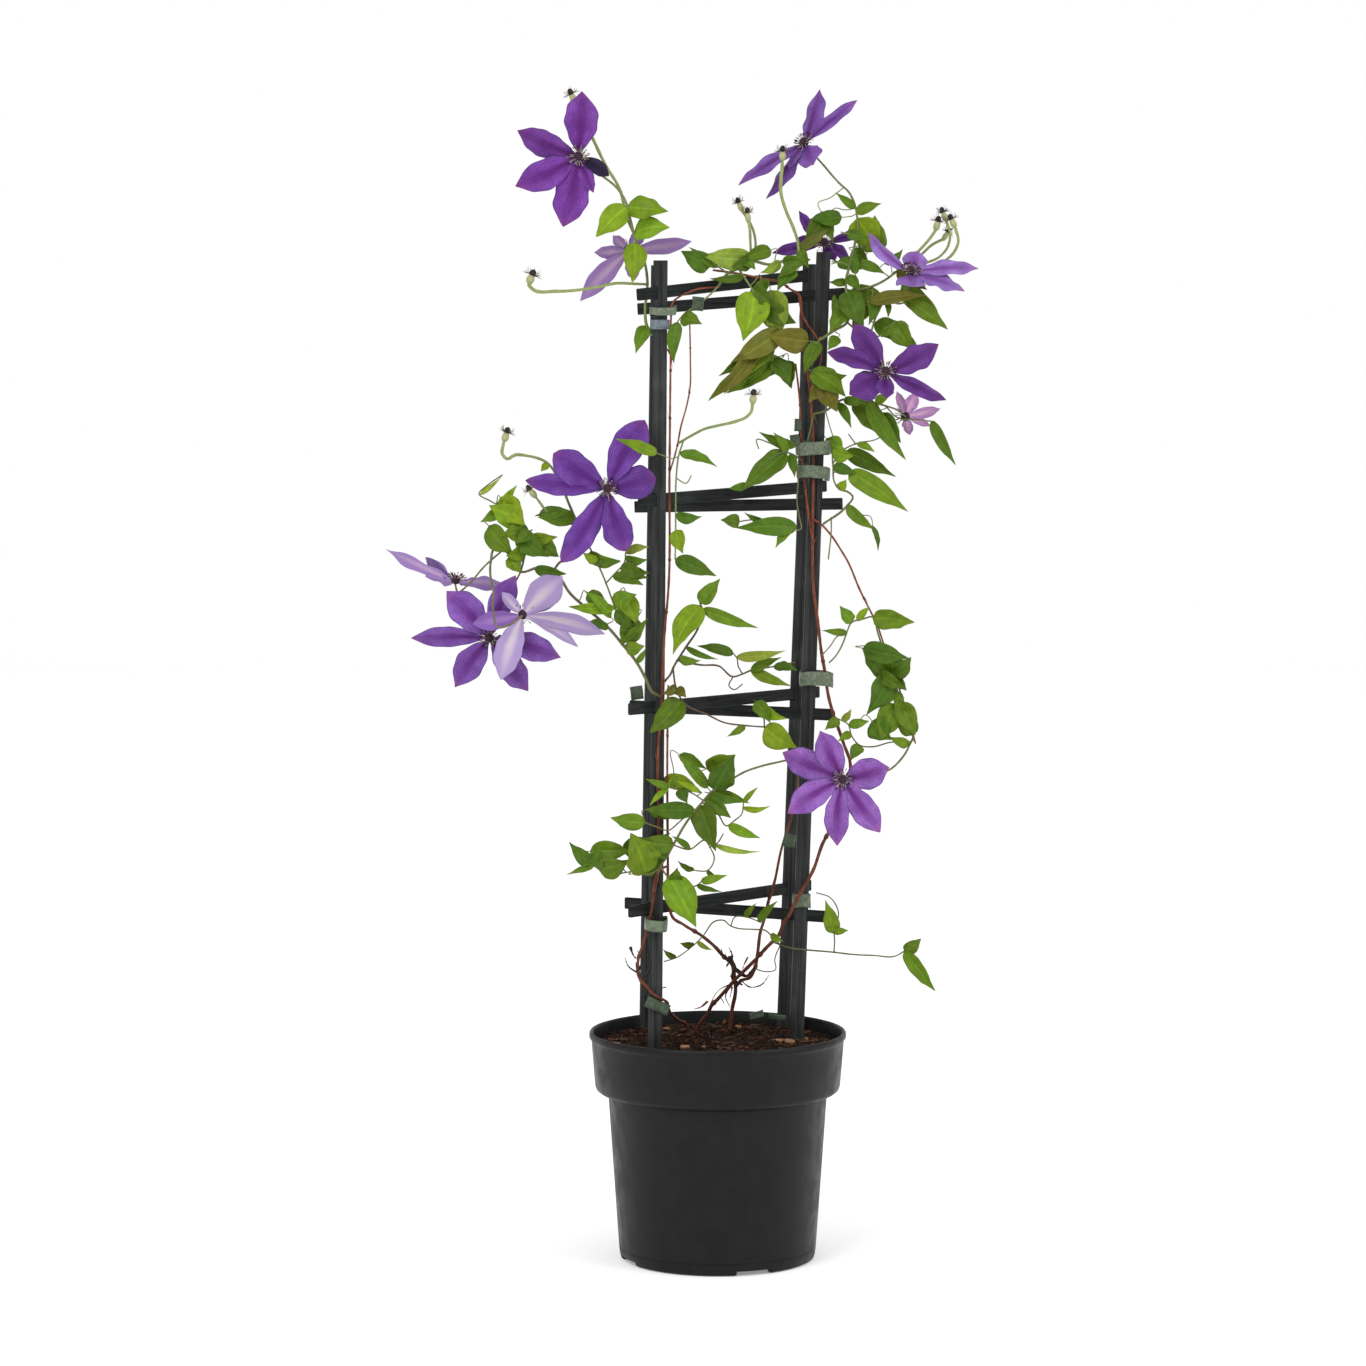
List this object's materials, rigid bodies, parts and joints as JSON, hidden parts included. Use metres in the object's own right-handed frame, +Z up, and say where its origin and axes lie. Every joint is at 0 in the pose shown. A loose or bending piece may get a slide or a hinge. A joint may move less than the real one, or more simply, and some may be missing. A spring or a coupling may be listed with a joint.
{
  "type": "clematis plant on a trellis",
  "caption": "Potted clematis in flower, climbing a slim square cane trellis that stands in a round nursery pot, with tied woody stems, leafy shoots and seed heads",
  "frame": {"origin": "centre of the pot's underside, on its central foot, where the pot stands", "axes": "+Z up along the pot's axis, -Y towards the viewer, +X to the viewer's right"},
  "size_m": [0.519, 0.23, 1.042],
  "materials": {
    "pot_plastic": "satin black moulded plastic",
    "soil": "fibrous peat compost with bark chips",
    "trellis": "matt anthracite, grooved",
    "tie_tape": "soft grey-green stretch tape",
    "tie_clip": "blue-grey moulded clip",
    "stem_wood": "red-brown fibrous bark",
    "leaf": "thin satin leaf blades and green stalks",
    "tepal": "velvety violet, paler lilac below",
    "stamen": "dark maroon anthers on pale filaments"
  },
  "bodies": {
    "root": {"pot": "pot_plastic", "soil": "soil", "post_front_left": "trellis", "post_front_right": "trellis", "post_back_left": "trellis", "post_back_right": "trellis", "rung_a1": "trellis", "rung_a2": "trellis", "rung_a3": "trellis", "rung_a4": "trellis", "rung_b1": "trellis", "rung_b2": "trellis", "rung_b3": "trellis", "rung_b4": "trellis", "tie_clip_top_left": "tie_clip", "tie_tape_top_left": "tie_tape", "tie_tape_right_upper": "tie_tape", "tie_tape_right_slant": "tie_tape", "tie_tape_right_middle": "tie_tape", "tie_tape_left_low": "tie_tape", "tie_tape_right_low": "tie_tape", "stem_right": "stem_wood", "stem_centre": "stem_wood", "stem_left": "stem_wood", "shoot_top_left": "leaf", "shoot_top_centre": "leaf", "shoot_top_right": "leaf", "shoot_right_upper": "leaf", "shoot_right_middle": "leaf", "shoot_middle_left": "leaf", "shoot_middle_right": "leaf", "shoot_left": "leaf", "shoot_centre": "leaf", "shoot_right_lower": "leaf", "shoot_low": "leaf", "shoot_base": "leaf", "bloom_01_tepals": "tepal", "bloom_01_stamens": "stamen", "bloom_02_tepals": "tepal", "bloom_02_stamens": "stamen", "bloom_03_tepals": "tepal", "bloom_03_stamens": "stamen", "bloom_04_tepals": "tepal", "bloom_04_stamens": "stamen", "bloom_05_tepals": "tepal", "bloom_05_stamens": "stamen", "bloom_06_tepals": "tepal", "bloom_06_stamens": "stamen", "bloom_07_tepals": "tepal", "bloom_07_stamens": "stamen", "bloom_08_tepals": "tepal", "bloom_08_stamens": "stamen", "bloom_09_tepals": "tepal", "bloom_09_stamens": "stamen", "bloom_10_tepals": "tepal", "bloom_10_stamens": "stamen", "bloom_11_tepals": "tepal", "bloom_11_stamens": "stamen", "bloom_12_tepals": "tepal", "bloom_12_stamens": "stamen"}
  },
  "joints": []
}
